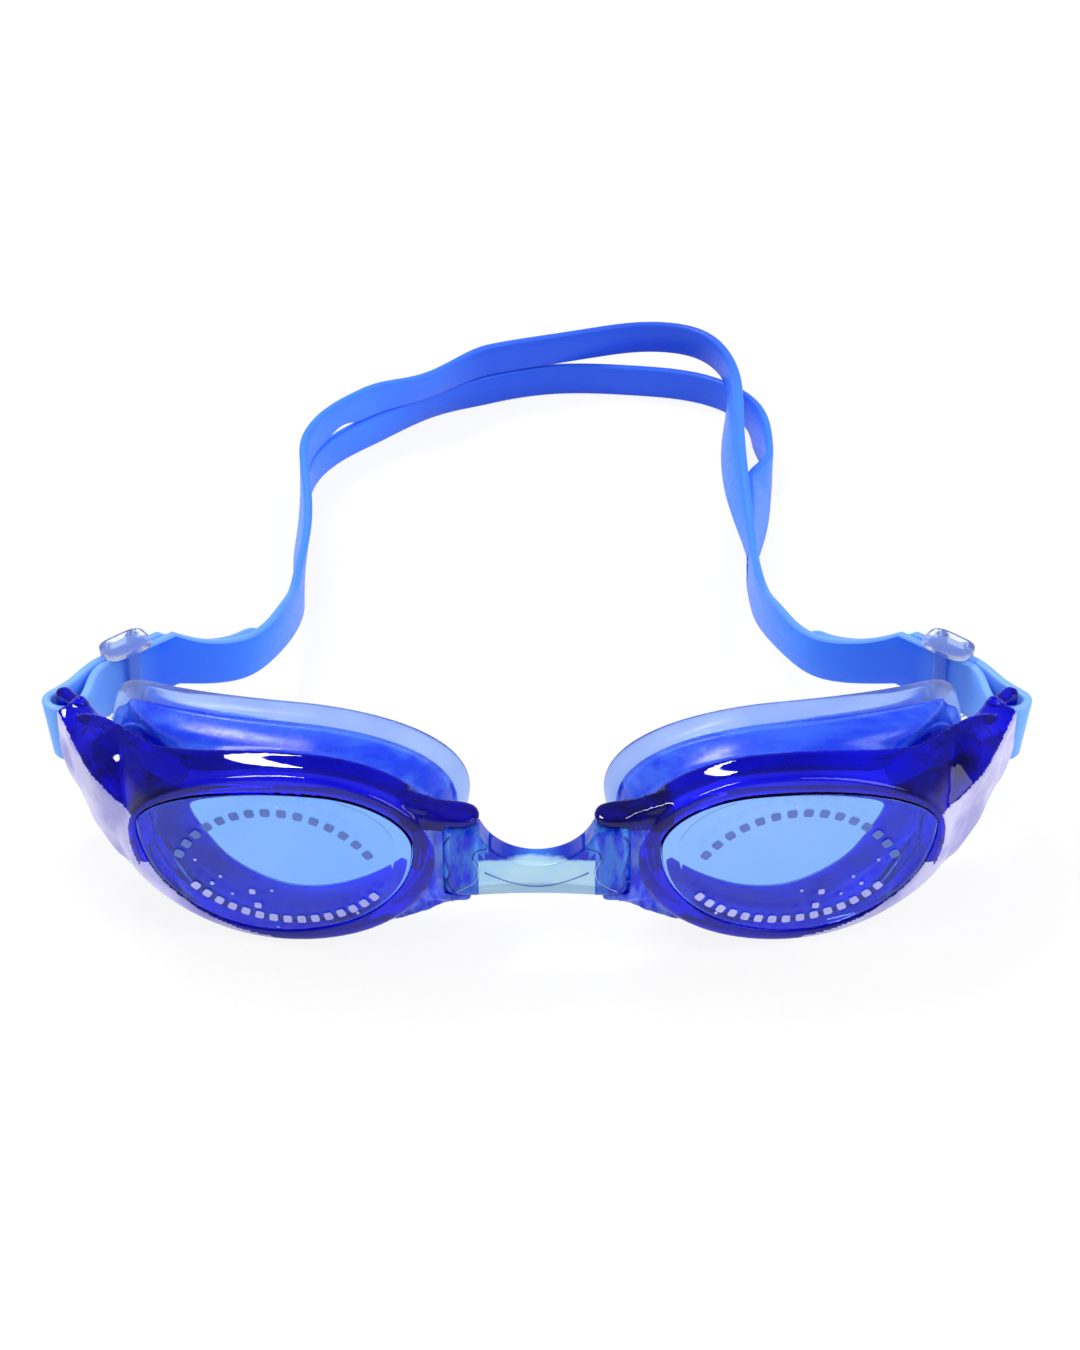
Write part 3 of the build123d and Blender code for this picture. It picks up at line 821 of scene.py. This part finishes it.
# ---- gaskets
SQUARE = 0.60  # the outline's upper temple corner is squarer than an ellipse
# the outline reaches further toward the nose and the temple than its two ellipses, by depth
GASKET_NOSE = [(9.0, 0.0), (14.0, 0.6), (20.0, 1.4), (30.0, 1.4)]
GASKET_TEMPLE = [(9.0, 0.0), (14.0, 2.2), (18.0, 3.0), (24.0, 0.8), (30.0, 0.0)]
# the flange's inner edge, drawn in by this much, by angle (degrees)
FLANGE_INNER = [(0, 3.2), (90, 2.6), (145, 3.0), (165, 6.0), (181, 10.5), (200, 11.0), (220, 8.6), (245, 6.0),
                (270, 5.0), (300, 4.6), (330, 4.0), (360, 3.2)]
FLANGE_LENGTH, FLANGE_NOSE = 32.0, 2.0  # its outline reaches SEAL at this depth, and more at the nose
DEEP_LEVEL = 21.5  # the gasket's inside is painted deep blue up to this height, as painted shade in the hollow
NOSE_SIDE, NOSE_LEVEL = -26.0, 23.0  # and up to a greater one on the nose side


def inset_by(shape, inset):
    """Outline drawn in by inset all round."""
    return shape._replace(temple=shape.temple + inset, nose=shape.nose - inset,
                          crest_z=shape.crest_z - inset, foot_z=shape.foot_z + inset)


def gasket_egg(shape, angle, depth, lip):
    """(u, z) on the gasket's outline, which turns squarer behind the lip at its upper temple corner."""
    shape = shape._replace(temple=shape.temple - table(GASKET_TEMPLE, depth),
                           nose=shape.nose + table(GASKET_NOSE, depth))
    power = 1 - (1 - SQUARE) * ease(depth, lip + 0.5, lip + 5.0)
    if power == 1.0 or not 90 < np.degrees(angle) < 180:
        return egg(shape, angle)
    reach, rise = shape.crest_u - shape.temple, shape.crest_z - shape.tip_z
    return shape.crest_u - reach * abs(cos(angle)) ** power, shape.tip_z + rise * abs(sin(angle)) ** power


def seal_depth(angle):
    """Depth of the flange's rear face, which leans and follows the face."""
    depth = 20.0
    for _ in range(12):
        u, z = between(egg(GASKET_FRONT, angle, -1.0), egg(SEAL, angle), depth / (SEAL_DEPTH + FLANGE_RUN))
        depth = 0.5 * depth + 0.5 * (seal_at(u) + SEAL_LEAN * (z - LEAN_LEVEL))
    return depth


def gasket_ring(angle):
    """Closed profile of the gasket at one angle, front to back outside and back again inside."""
    lip = lip_depth(angle)
    inner = table(FLANGE_INNER, np.degrees(angle))

    def wall(depth, inset):
        shape = mixed(inset_by(GASKET_FRONT, inset), inset_by(SEAL, 1.0 + inset), depth / SEAL_DEPTH)
        return at_depth(gasket_egg(shape, angle, depth, lip), depth)

    def flange(depth, inset):
        length = FLANGE_LENGTH + FLANGE_NOSE * cos(angle)
        shape = mixed(inset_by(GASKET_FRONT, inset - 1.0), inset_by(SEAL, inset), depth / length)
        return at_depth(gasket_egg(shape, angle, depth, lip), depth)

    rear = seal_depth(angle)
    start = rear - FLANGE_DEPTH
    run = max(start - lip, 1.2)
    return [
        wall(lip - 1.8, 1.3), wall(lip - 0.1, 0.75), wall(lip + 0.12, 0.12), wall(lip + 0.55, -0.05),
        wall(lip + run * 0.22, 0.10), wall(lip + run * 0.30, 0.28), wall(lip + run * 0.38, 0.10),
        wall(lip + run * 0.65, 0.0), wall(start - 0.7, 0.15), wall(start - 0.15, 0.35),
        flange(start + 0.1, 0.55), flange(start + 0.45, 0.05), flange(start + 2.2, 0.0),
        flange(rear - 0.7, 0.0), flange(rear - 0.15, 0.12), flange(rear, 0.6),
        flange(rear - 0.05, inner - 0.5), flange(rear - 0.6, inner), flange(start + 1.6, (inner + 3.0) / 2),
        flange(start + 0.4, 3.0), wall(start - 0.8, 2.1), wall(lip + run * 0.4, 2.0), wall(lip - 1.8, 2.6),
    ]


FLANGE_PLACES, INNER_FROM = range(10, 19), 17  # places in the profile: the flange, and the inside
rings = [gasket_ring(angle) for angle in turns(TURN)]
gasket = tube("gasket", rings, [gasket_wall, gasket_flange, gasket_inner_shade], closed=True)
# inside faces low in the hollow take the painted shade; the flange takes its own pale finish
for poly in gasket.data.polygons:
    place = poly.index % len(rings[0])
    across, _depth, height = poly.center / MM
    if place >= INNER_FROM and height < (NOSE_LEVEL if across > NOSE_SIDE else DEEP_LEVEL):
        poly.material_index = 2
    elif place in FLANGE_PLACES:
        poly.material_index = 1
subdivide(gasket)
both_sides(gasket, "gasket", "gasket", "cup")

# ---- nose bridge
BRIDGE_FINISHES = [bridge_light, bridge_deep, bridge_block]
LIGHT, DEEP, BLOCK = range(3)
SECTIONS, ROUND = 73, 32
CORNERS = 0.22  # power that squares its section
BLOCK_FROM = 9.0  # the bar widens into its blocks here
BLOCK_HIGH = (7.3, 23.0)  # and their upper part starts nearer to the middle, above this height
DIP_TOP, DIP_RADIUS = 29.3, 9.4  # the arch over the nose
SMILE_HALF, SMILE_LOW, SMILE_RISE = 8.1, 15.8, 3.1  # the fine curved line on its front
ZIGZAG = [(-1.6, 25.6), (-2.3, 24.0), (-2.8, 22.4), (-2.1, 19.6), (-1.7, 17.4), (-2.0, 16.4), (-1.0, 14.2)]
WAVE = [(4.2, 23.7), (2.4, 22.9), (2.0, 21.7), (2.5, 20.3), (2.4, 17.0), (1.1, 15.8), (-0.6, 14.7)]
pin_x, pin_y, _ = at(0, PIN_D, 0)
BRIDGE_FRONT = pin_y - KNUCKLE


def bridge_span(x):
    """Lowest and highest point of the bridge at x."""
    dip = DIP_TOP - sqrt(max(DIP_RADIUS**2 - x * x, 0))
    return KNUCKLE_LOW + 0.6 * max(0, 1 - (x / 10.0) ** 2), min(dip, BLOCK_TOP)


def hollow_at(x, share):
    """Depth of the dished front at x and a share of its height."""
    return 0.5 * max(0, 1 - (x / 8.0) ** 4) * (1 - (2 * share - 1) ** 2)


def bridge_ring(x):
    """Squared section of the bridge at x. Past the pins it ends in the knuckles' half circles."""
    low, top = bridge_span(x)
    past = max(abs(x) + pin_x, 0)
    half = sqrt(max(KNUCKLE**2 - past**2, 0.02))
    depth, front = 2 * half, pin_y - half
    if past == 0:
        widening = max(0, (abs(x) - BLOCK_FROM) / 2.5) ** 2
        depth = min(BRIDGE_DEPTH + (2 * KNUCKLE - BRIDGE_DEPTH) * widening, depth)
        front = BRIDGE_FRONT
    ring = []
    for k in range(ROUND):
        turn = 2 * pi * (k + 0.5) / ROUND
        y = squared(cos(turn), CORNERS) * 0.5 + 0.5
        z = squared(sin(turn), CORNERS) * 0.5 + 0.5
        hollow = hollow_at(x, z) if y < 0.2 else 0
        ring.append((x, front + y * depth + hollow, low + z * (top - low)))
    return ring


def bridge_finish(middle, _normal):
    """Finish of the bridge at one face."""
    off_middle = abs(middle.x)
    in_block = off_middle > BLOCK_FROM or (off_middle > BLOCK_HIGH[0] and middle.z > BLOCK_HIGH[1])
    return BLOCK if in_block else LIGHT


def fine_line(name, sections, finish):
    """Fine raised line through three-cornered sections."""
    line = tube(name, sections, BRIDGE_FINISHES)
    paint(line, lambda _middle, _normal: finish)
    return line


def rib(side, line, thick, finish):
    """Fine raised line on a knuckle's or the bar's front, through (u, z) points."""
    route = spline(line)(np.linspace(0, 1, 4 * len(line)))
    sections = []
    for n, (u, z) in enumerate(route):
        d = PIN_D - sqrt(max((KNUCKLE + 0.02) ** 2 - min(u, 0) ** 2, 0.2))
        across = thick * (0.4 if n in (0, len(route) - 1) else 1.0)
        section = []
        for du, dd in ((-across, 0.15), (0, -0.12), (across, 0.15)):
            x, y, z_here = at(u + du, d + dd, z)
            section.append((x * side, max(y, BRIDGE_FRONT + dd) if u > 0 else y, z_here))
        sections.append(section)
    return fine_line("rib", sections, finish)


def smile():
    """Fine curved line low on the bridge's front."""
    sections = []
    for x in np.linspace(-SMILE_HALF, SMILE_HALF, 41):
        z = SMILE_LOW + SMILE_RISE * (x / SMILE_HALF) ** 2
        low, top = bridge_span(x)
        front = BRIDGE_FRONT + hollow_at(x, (z - low) / (top - low))
        sections.append([(x, front + dy, z + dz) for dy, dz in ((0.0, -0.05), (-0.28, 0), (0.0, 0.05))])
    return fine_line("smile", sections, DEEP)


reach = -pin_x + KNUCKLE
stations = [-reach * cos(pi * n / (SECTIONS - 1)) for n in range(SECTIONS)]
bridge = tube("nose_bridge", [bridge_ring(x) for x in stations], BRIDGE_FINISHES)
paint(bridge, bridge_finish)
subdivide(bridge)
lines = [smile()]
for side in SIDES.values():
    lines += [rib(side, ZIGZAG, 0.28, DEEP), rib(side, WAVE, 0.22, LIGHT)]
bridge = join([bridge] + lines, "nose_bridge_piece")
settle("nose_bridge_piece", ["nose_bridge"], "bridge", bridge)

# ---- strap: its lines
bar_x, bar_y, _ = at(*BAR, 0)
BUCKLE = (bar_x + BUCKLE_RIGHT, bar_y + BUCKLE_BACK)
AHEAD = (cos(BUCKLE_HEADING), sin(BUCKLE_HEADING))
OUT = (-sin(BUCKLE_HEADING), cos(BUCKLE_HEADING))
RUNS = {
    "left": [(-49.6, -22.6), (-45.0, -13.4), (-43.0, -3.0), (-42.7, 18.0), (-43.4, 40.0)],
    "right": [(-48.4, -23.4), (-42.6, -13.0), (-39.8, -1.0), (-38.8, 14.0)],
}
BACK_LEFT = [(-43.4, 40.0), (-43.4, 43.0), (-40.6, 52.0), (-31.0, 62.2), (-11.0, 75.2)]
LOWER = BACK_LEFT + [(3.0, 79.3), (19.0, 78.8), (33.0, 75.4), (42.2, 66.0), (43.9, 52.0), (41.4, 29.0),
                     (38.9, 17.0), (38.8, 14.0)]
UPPER = BACK_LEFT + [(4.0, 79.9), (12.0, 82.2), (20.0, 83.9), (31.5, 81.4), (37.4, 70.0), (37.9, 54.0),
                     (37.9, 32.0), (38.7, 17.0), (38.8, 14.0)]
# each strip's plan line, its foot and its head
STRIPS = {"lower": (LOWER, 0.0, STRIP), "upper": (UPPER, STRIP + SLIT, 2 * STRIP + SLIT)}
# heights of the strap's edges along Y
EDGE_LOW = [(-31.8, 14.9), (-27.8, 11.8), (-24.0, 9.8), (-17.7, 8.4), (-10.5, 6.7), (-3.0, 4.3), (4.6, 1.9),
            (20.0, 0.0)]
EDGE_TOP = [(-31.8, 25.5), (-29.0, 22.0), (-24.0, 18.4), (-17.7, 16.6), (-10.5, 15.4), (-3.0, 13.1),
            (4.0, 12.0), (14.0, 10.8), (24.0, 11.8), (36.0, 13.3)]
low_edge, top_edge = line_at(EDGE_LOW, 300), line_at(EDGE_TOP, 300)

CORNER, EDGE_ZONE = 0.4, 3.2
# round one edge: across the strap (-1 to 1 of half its thickness), and from the edge (mm)
ROUNDED = [(-1, EDGE_ZONE), (-1, CORNER), (-0.72, 0.1), (0, 0), (0.72, 0.1), (1, CORNER), (1, EDGE_ZONE)]
PROFILE = [(*spot, 0) for spot in ROUNDED] + [(*spot, 1) for spot in reversed(ROUNDED)]  # low edge, top edge

LOOP = 2.4  # radius of the strap's loop round the bar
LOOP_ANGLES = (137, 158, 180, 203, 234.5, 270, 300, 332)
TAIL_LENGTHS = (30.0, 24.0, 17.0, 10.5)  # the free tail follows the run from here to there
RUN_STEPS, TIP_STEPS = 420, 14  # points along the tail, loop and run, and along the tail's tip
STRIP_STEPS = 261  # points along a whole strip
MIDDLE_STEP = STRIP_STEPS // 2


# ---- strap: its bands
def ribbon(path, heights, leans, caps):
    """Points and faces of a flat band on edge along plan points, capped at its start and its end or not."""
    rings = []
    for (x, y), (wx, wy), (low, top), lean in zip(path, headings(path), heights, leans):
        ring = []
        for side, step, edge in PROFILE:
            step = min(step, (top - low) * 0.45)
            z = low + step if edge == 0 else top - step
            share = (z - low) / (top - low) - 0.5
            ring.append((x - wy * side * THICK / 2 + lean[0] * share,
                         y + wx * side * THICK / 2 + lean[1] * share, z))
        rings.append(ring)
    return [p for ring in rings for p in ring], tube_faces(len(path), len(PROFILE), caps=caps)


def buckle_spot(forward, outward):
    """Plan point by its distances from the buckle's middle."""
    return tuple(BUCKLE[k] + AHEAD[k] * forward + OUT[k] * outward for k in (0, 1))


def round_bar(angle):
    """Plan point of the strap's loop."""
    return (bar_x + LOOP * cos(radians(angle)), bar_y + LOOP * sin(radians(angle)))


def free_tail(run):
    """Plan points of the tail, which lies a layer outside the run."""
    inner = spline([buckle_spot(0, -LAYER), buckle_spot(4.3, -LAYER)] + run)(np.linspace(0, 1, 200))
    ways = headings(inner)
    outer = inner + np.stack([-ways[:, 1], ways[:, 0]], axis=1) * 2 * LAYER
    return [tuple(outer[n]) for n in np.searchsorted(lengths_along(inner), TAIL_LENGTHS)]


def run_path(side):
    """Plan line of the tail, the two layers in the buckle with the loop between them, and the run."""
    run = [buckle_spot(BUCKLE_AFTER, -LAYER)] + RUNS[side]
    loop = [round_bar(angle) for angle in LOOP_ANGLES]
    route = free_tail(run) + [buckle_spot(forward, LAYER) for forward in (6, 2, -2, -BUCKLE_BEFORE)]
    route += [between(buckle_spot(-BUCKLE_BEFORE, LAYER), loop[0], 0.5)] + loop
    route += [between(loop[-1], buckle_spot(-BUCKLE_BEFORE, -LAYER), 0.5)]
    route += [buckle_spot(forward, -LAYER) for forward in (-BUCKLE_BEFORE, -2, 2, 6)] + run
    return spline(route)(np.linspace(0, 1, RUN_STEPS))


def run_section(side, n, x, y):
    """Heights and lean of the single part at its point n, which lies at (x, y)."""
    trim = 2.2 * max(0.0, 1 - n / TIP_STEPS) ** 2
    near_bar = max(0.0, 1 - np.hypot(x - bar_x, y - bar_y) / 7.0)
    outward = near_bar * max(0.0, (bar_x + 0.6 - x) / 3.0)
    tilt = 2.6 * hump(y, 4.0, 42.0) if side == "left" else 0.0
    return (low_edge(y) + trim, top_edge(y) - trim), (tilt - 2.0 * outward, 0.6 * outward)


def strip_bend(name, x, y):
    """Shift in plan and lean (top over bottom) of a strip of the split part, in the row frame."""
    wave = hump(x, -33.0, -9.0) if y > 50 else 0.0
    twist = hump(y, 12.0, 74.0) ** 0.6 if x > 30 else 0.0
    if name == "upper":
        return (-1.1 * twist, -2.8 * wave), (3.2 * twist, -1.8 * wave)
    head = -min(3.8, max(0.0, 0.8 * (x - 38.6))) * (1 - ease(y, 41.0, 50.0)) if x > 30 else 0.0
    foot = -3.2 * twist * ease(y, 50.0, 62.0)
    return ((head + foot) / 2, 0.3 * wave), (head - foot, -1.8 * wave)


def strip_half(side, name):
    """Band of one strip from the run's end to the middle of the back, as if on the left."""
    knots, low, top = STRIPS[name]
    path = spline(knots)(np.linspace(0, 1, STRIP_STEPS))
    bends = [strip_bend(name, x, y) for x, y in path]
    path = path + [shift for shift, _lean in bends]
    leans = np.array([lean for _shift, lean in bends])
    if side == "left":
        path, leans = path[:MIDDLE_STEP + 1], leans[:MIDDLE_STEP + 1]
    else:
        path, leans = path[MIDDLE_STEP:][::-1] * (-1, 1), leans[MIDDLE_STEP:][::-1] * (-1, 1)
    heights = []
    for x, y in path:
        ceiling = min(top, top_edge(y)) if name == "upper" else top
        floor = max(low, low_edge(y)) if name == "lower" else low
        opening = 1.1 * hump(x, -41.5, -33.5) if name == "upper" and side == "left" else 0.0
        heights.append((min(floor + opening, ceiling - 3.4), ceiling))
    return ribbon(path, heights, leans, (False, False))


def strap_half(side):
    """One half of the strap: tail, loop round the bar, run, and its share of both strips."""
    path = run_path(side)
    shapes = [run_section(side, n, x, y) for n, (x, y) in enumerate(path)]
    single = ribbon(path, [heights for heights, _ in shapes], [lean for _, lean in shapes], (True, False))
    points, faces = gathered([single, strip_half(side, "lower"), strip_half(side, "upper")])
    if side == "right":
        points = [(-x, y, z) for x, y, z in points]
    half = make(f"strap_{side}", points, faces, [strap_silicone, strap_edge_lit])
    # edge faces take their copy of the painted light and shade
    paint(half, lambda _middle, normal: 1 if abs(normal.z) > 0.5 else 0)
    return half


for side, sign in SIDES.items():
    half = strap_half(side)
    settle(f"strap_{side}", ["strap"], None, half)
    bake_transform(half)

# ---- buckles
INSIDE = SINGLE / 2 + RAIL_PLAY  # from the strap's middle to the inner face of a rail
RAIL_WIDTH = 5.4
RAIL_CORNERS = 0.55  # power that squares a rail's plan
BAR_HALF = 0.45  # half a cross bar's thickness
# cross bars as (forward, outward, half width)
CROSS_BARS = [(-2.6, 2.25, 0.85), (2.6, 2.25, 0.85), (0.0, -2.25, 1.1)]


def upright(outline, low, high):
    """Upright prism in the row frame."""
    return tube("block", [[(x, y, z) for x, y in outline] for z in (low, high)], buckle_plastic)


def rail(low):
    """One rail: a long rounded bar, a little narrower toward the ear."""
    outline = []
    for turn in turns(40):
        forward = squared(cos(turn), RAIL_CORNERS) * BUCKLE_LENGTH / 2
        outward = squared(sin(turn), RAIL_CORNERS) * RAIL_WIDTH / 2
        outline.append(buckle_spot(forward, outward * (1 + 0.08 * forward / BUCKLE_LENGTH)))
    return upright(outline, low, low + RAIL)


def cross_bar(forward, outward, half):
    """One bar from rail to rail."""
    corners = ((-half, -BAR_HALF), (half, -BAR_HALF), (half, BAR_HALF), (-half, BAR_HALF))
    plan = [buckle_spot(forward + f, outward + o) for f, o in corners]
    return upright(plan, MIDDLE - INSIDE - RAIL / 2, MIDDLE + INSIDE + RAIL / 2)


blocks = [rail(MIDDLE - INSIDE - RAIL), rail(MIDDLE + INSIDE)] + [cross_bar(*bar) for bar in CROSS_BARS]
buckle = fuse(blocks, "buckle", 0.2, 4, (buckle_plastic, buckle_bar_painted_strap))
# faces within the strap's band take the painted blue of the strap seen through the clear plastic
paint(buckle, lambda middle, _normal: 1 if abs(middle.z - MIDDLE) < INSIDE else 0)
both_sides(buckle, "buckle", "buckle", "buckle")

# ---- camera
camera = placed("camera", bpy.data.cameras.new("camera"))
camera.data.sensor_height = 36
camera.data.sensor_width = 36
camera.data.lens = 92.9
camera.location = (0.0005, -0.4944, 0.3779)
camera.rotation_euler = (radians(52), 0, 0)
scene.camera = camera


# ---- floor, world and lamps
FLOOR_SIZE = 3.0  # m, from the middle to each side
FLOOR_DROP = 0.0002  # the floor lies this far under the goggles
WHITE = (1, 1, 1)


def looked_at(tree):
    """1 for camera, glossy and transmission rays."""
    rays = node(tree, "LightPath")
    value = rays["Is Camera Ray"]
    for kind in ("Is Glossy Ray", "Is Transmission Ray"):
        value = worked(tree, "ADD", value, rays[kind], clamp=True)
    return value


def floor_surface(tree):
    """Pale floor that shows white and keeps the goggles' shadow."""
    pale = node(tree, "BsdfDiffuse", {"Color": (0.9, 0.9, 0.92, 1)})["BSDF"]
    white = node(tree, "Emission")["Emission"]
    share = spread(tree, looked_at(tree), 0, 1, 0.0, 0.88)
    return node(tree, "MixShader", {"Fac": share, 1: pale, 2: white})["Shader"]


def make_floor():
    """The surface that the goggles stand on."""
    mesh = bpy.data.meshes.new("floor")
    corners = ((-1, -1), (1, -1), (1, 1), (-1, 1))
    mesh.from_pydata([(x * FLOOR_SIZE, y * FLOOR_SIZE, 0) for x, y in corners], [], [(0, 1, 2, 3)])
    mesh.materials.append(finished("floor", floor_surface))
    floor = placed("floor", mesh)
    floor.location.z = -FLOOR_DROP


def make_world():
    """White surroundings, darker overhead where something glossy reflects them."""
    world = bpy.data.worlds.new("world")
    scene.world = world
    world.use_nodes = True
    tree = world.node_tree
    tree.nodes.clear()
    height = node(tree, "SeparateXYZ", {0: node(tree, "TexCoord")["Generated"]})["Z"]
    sky = ramp(tree, height, [(0.0, WHITE), (0.1, WHITE), (0.3, (0.3, 0.31, 0.36)), (1.0, (0.1, 0.11, 0.14))])
    colour = blended(tree, node(tree, "LightPath")["Is Glossy Ray"], (*WHITE, 1), sky)
    strength = spread(tree, looked_at(tree), 0, 1, 0.75, 1.0)
    light = node(tree, "Background", {"Color": colour, "Strength": strength})[0]
    node(tree, "OutputWorld", {"Surface": light})


def lamp(name, place, size, power):
    """Soft lamp aimed at the goggles, size across and along."""
    light = bpy.data.lights.new(name, "AREA")
    light.shape = "RECTANGLE"
    light.size, light.size_y = size
    light.energy = power
    item = placed(name, light)
    item.location = place
    item.rotation_euler = (-Vector(place)).to_track_quat("-Z", "Y").to_euler()


make_floor()
make_world()
lamp("key", (-0.35, 0.35, 0.9), (0.5, 0.12), 6.0)
lamp("fill", (0.7, -0.3, 0.8), (0.6, 0.6), 4.0)
scene.view_settings.view_transform = "Standard"
